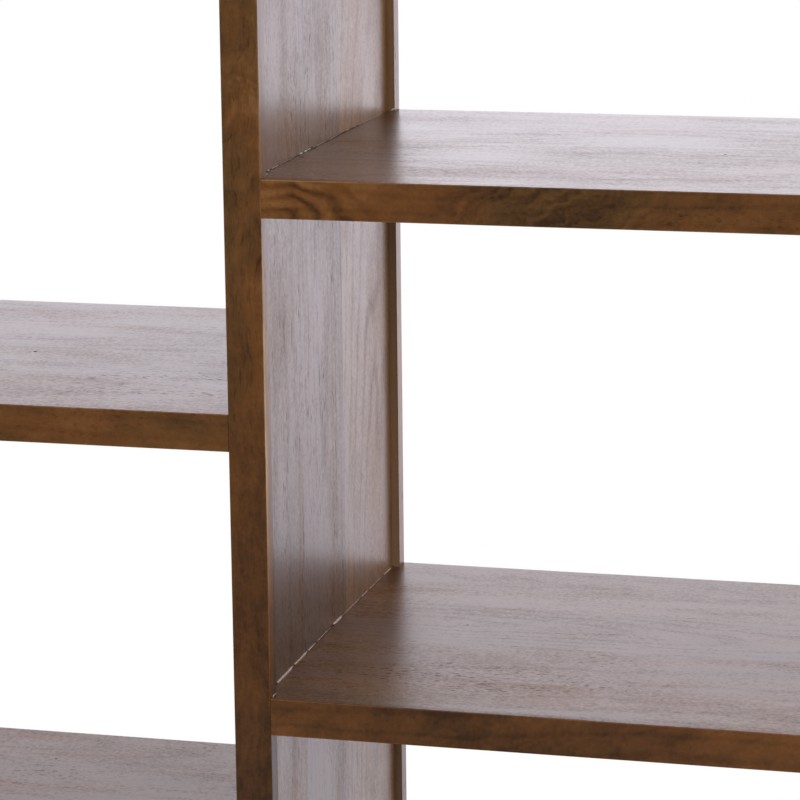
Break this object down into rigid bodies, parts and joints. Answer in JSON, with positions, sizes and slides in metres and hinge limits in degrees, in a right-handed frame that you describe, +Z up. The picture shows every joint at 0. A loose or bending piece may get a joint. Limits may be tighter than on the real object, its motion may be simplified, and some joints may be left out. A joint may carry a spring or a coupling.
{
  "type": "shelving unit",
  "caption": "Open wooden shelving unit with columns of shelves at staggered heights between panelled uprights, open at the front and back",
  "frame": {"origin": "centre of the unit's footprint, on the floor", "axes": "+X to the right seen from the front, +Y to the rear, +Z up"},
  "size_m": [1.2, 0.35, 1.795],
  "materials": {
    "strip_wood": "brown stained solid wood, satin lacquer, grain upright",
    "panel_wood": "brown stained solid wood boards, satin lacquer, grain upright",
    "board_wood": "brown stained solid wood boards, satin lacquer, grain along the length",
    "rail_wood": "brown stained solid wood, satin lacquer, grain along the length",
    "joint_filler": "dried wood glue and pale filler, wiped along the joints",
    "dowel_wood": "plain beech dowel",
    "glide_plastic": "dark brown moulded plastic",
    "plated_steel": "zinc plated steel"
  },
  "bodies": {
    "root": {"left_front_strip": "strip_wood", "left_rear_strip": "strip_wood", "divider_front_strip": "strip_wood", "divider_rear_strip": "strip_wood", "right_front_strip": "strip_wood", "right_rear_strip": "strip_wood", "left_panel": "panel_wood", "divider_panel": "panel_wood", "right_panel": "panel_wood", "top_board": "board_wood", "left_bottom_board": "board_wood", "right_bottom_board": "board_wood", "left_shelf_1": "board_wood", "left_shelf_2": "board_wood", "left_shelf_3": "board_wood", "left_shelf_4": "board_wood", "right_shelf_1": "board_wood", "right_shelf_2": "board_wood", "right_shelf_3": "board_wood", "right_shelf_4": "board_wood", "right_shelf_5": "board_wood", "left_front_rail": "rail_wood", "left_rear_rail": "rail_wood", "right_front_rail": "rail_wood", "right_rear_rail": "rail_wood", "left_shelf_dowels": "dowel_wood", "right_shelf_dowels": "dowel_wood", "bottom_board_dowels": "dowel_wood", "top_board_dowels": "dowel_wood", "rail_dowels": "dowel_wood", "floor_glides": "glide_plastic", "glide_nails": "plated_steel", "wall_brackets": "plated_steel", "bracket_screws": "plated_steel"}
  },
  "joints": []
}
